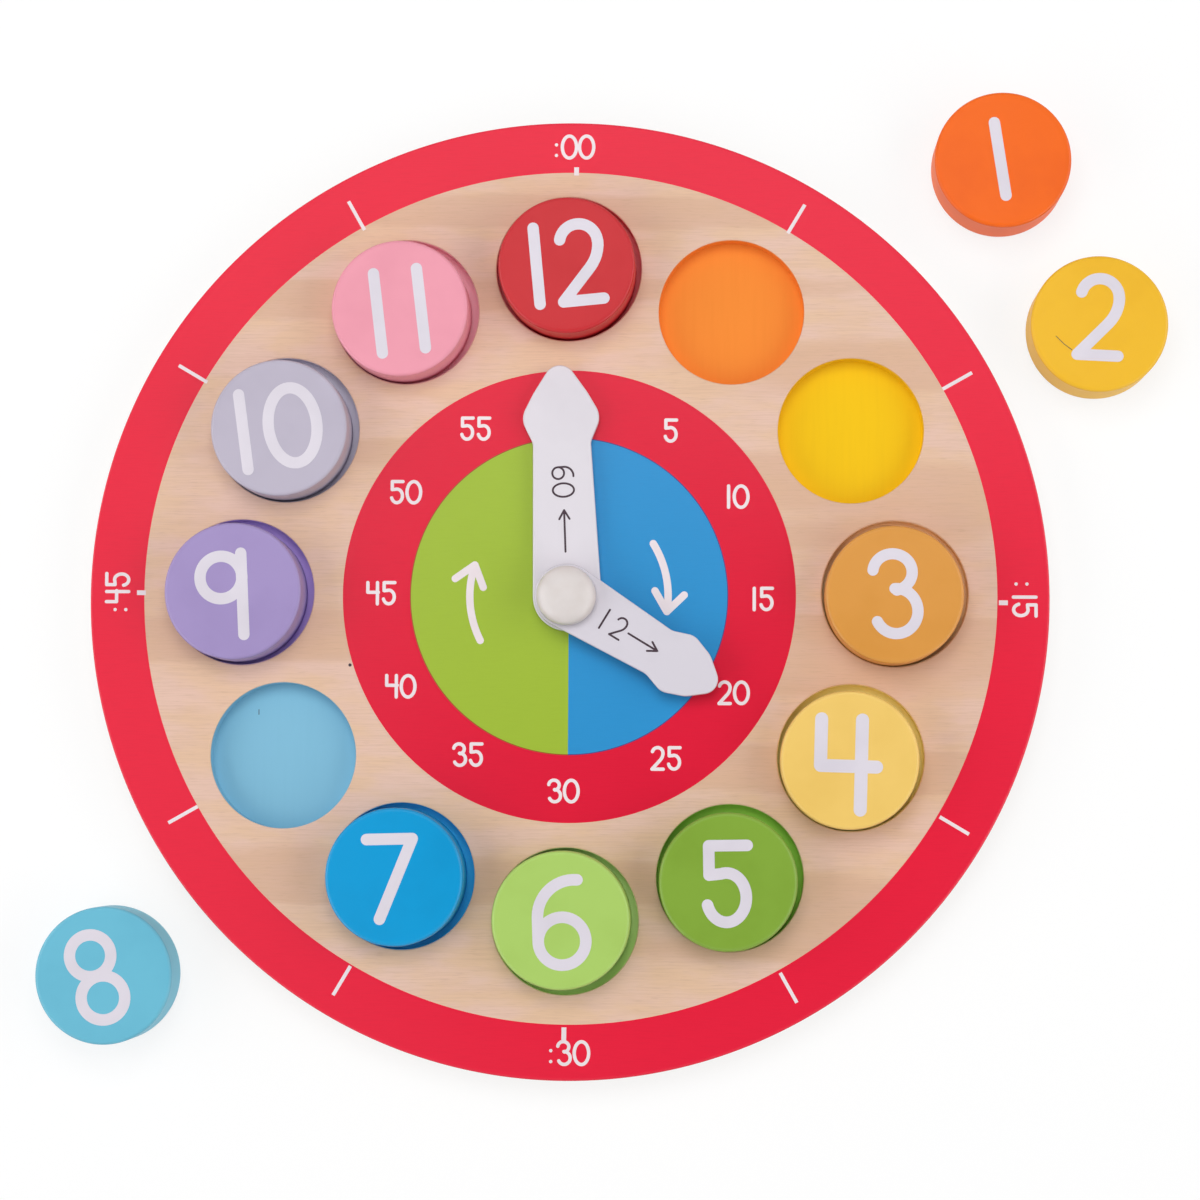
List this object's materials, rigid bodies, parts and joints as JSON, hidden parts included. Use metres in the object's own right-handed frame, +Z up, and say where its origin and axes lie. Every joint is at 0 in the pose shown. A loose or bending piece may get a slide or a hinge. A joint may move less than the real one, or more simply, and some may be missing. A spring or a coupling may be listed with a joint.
{
  "type": "wooden teaching clock",
  "caption": "Round wooden dial lying flat, with painted number discs that lift out of recesses, some laid beside it, and white hands turned by finger on a capped spindle.",
  "frame": {"origin": "centre of the dial's flat underside, which rests on the table", "axes": "+Z up out of the dial's face, +Y from the centre towards the twelve o'clock recess, +X towards the three o'clock recess"},
  "size_m": [0.3507, 0.3081, 0.0255],
  "materials": {
    "birch_ply": "clear matt varnish on birch plywood",
    "disc_1_paint": "orange gloss paint on turned wood",
    "disc_2_paint": "yellow gloss paint on turned wood",
    "disc_3_paint": "ochre gloss paint on turned wood",
    "disc_4_paint": "pale yellow gloss paint on turned wood",
    "disc_5_paint": "green gloss paint on turned wood",
    "disc_6_paint": "light green gloss paint on turned wood",
    "disc_7_paint": "blue gloss paint on turned wood",
    "disc_8_paint": "light blue gloss paint on turned wood",
    "disc_9_paint": "violet gloss paint on turned wood",
    "disc_10_paint": "pale lilac gloss paint on turned wood",
    "disc_11_paint": "pink gloss paint on turned wood",
    "disc_12_paint": "red gloss paint on turned wood",
    "hand_paint": "white satin paint on thin board",
    "fibre": "plain vulcanised fibre",
    "brass": "turned",
    "steel": "zinc plated",
    "nylon": "moulded, natural",
    "cap_plastic": "moulded, glossy cream"
  },
  "bodies": {
    "dial": {"back_board": "birch_ply", "front_board": "birch_ply", "face_washer": "fibre", "hand_washer": "fibre", "spindle_sleeve": "brass", "spindle_screw": "steel", "wave_spring": "steel", "cap_base": "nylon", "hub_cap": "cap_plastic"},
    "minute_hand": {"minute_hand": "hand_paint"},
    "hour_hand": {"hour_hand": "hand_paint"},
    "disc_1": {"number_disc_1": "disc_1_paint"},
    "disc_2": {"number_disc_2": "disc_2_paint"},
    "disc_3": {"number_disc_3": "disc_3_paint"},
    "disc_4": {"number_disc_4": "disc_4_paint"},
    "disc_5": {"number_disc_5": "disc_5_paint"},
    "disc_6": {"number_disc_6": "disc_6_paint"},
    "disc_7": {"number_disc_7": "disc_7_paint"},
    "disc_8": {"number_disc_8": "disc_8_paint"},
    "disc_9": {"number_disc_9": "disc_9_paint"},
    "disc_10": {"number_disc_10": "disc_10_paint"},
    "disc_11": {"number_disc_11": "disc_11_paint"},
    "disc_12": {"number_disc_12": "disc_12_paint"}
  },
  "joints": [
    {"name": "minute_hand_turn", "type": "hinge", "parent": "dial", "child": "minute_hand", "pos_m": [0, 0, 0.014], "axis": [0, 0, 1], "continuous": true},
    {"name": "hour_hand_turn", "type": "hinge", "parent": "dial", "child": "hour_hand", "pos_m": [0, 0, 0.0175], "axis": [0, 0, 1], "continuous": true},
    {"name": "disc_1_lift", "type": "slide", "parent": "dial", "child": "disc_1", "axis": [0, 0, 1], "range_m": [0, 0.03]},
    {"name": "disc_2_lift", "type": "slide", "parent": "dial", "child": "disc_2", "axis": [0, 0, 1], "range_m": [0, 0.03]},
    {"name": "disc_3_lift", "type": "slide", "parent": "dial", "child": "disc_3", "axis": [0, 0, 1], "range_m": [0, 0.03]},
    {"name": "disc_4_lift", "type": "slide", "parent": "dial", "child": "disc_4", "axis": [0, 0, 1], "range_m": [0, 0.03]},
    {"name": "disc_5_lift", "type": "slide", "parent": "dial", "child": "disc_5", "axis": [0, 0, 1], "range_m": [0, 0.03]},
    {"name": "disc_6_lift", "type": "slide", "parent": "dial", "child": "disc_6", "axis": [0, 0, 1], "range_m": [0, 0.03]},
    {"name": "disc_7_lift", "type": "slide", "parent": "dial", "child": "disc_7", "axis": [0, 0, 1], "range_m": [0, 0.03]},
    {"name": "disc_8_lift", "type": "slide", "parent": "dial", "child": "disc_8", "axis": [0, 0, 1], "range_m": [0, 0.03]},
    {"name": "disc_9_lift", "type": "slide", "parent": "dial", "child": "disc_9", "axis": [0, 0, 1], "range_m": [0, 0.03]},
    {"name": "disc_10_lift", "type": "slide", "parent": "dial", "child": "disc_10", "axis": [0, 0, 1], "range_m": [0, 0.03]},
    {"name": "disc_11_lift", "type": "slide", "parent": "dial", "child": "disc_11", "axis": [0, 0, 1], "range_m": [0, 0.03]},
    {"name": "disc_12_lift", "type": "slide", "parent": "dial", "child": "disc_12", "axis": [0, 0, 1], "range_m": [0, 0.03]}
  ]
}
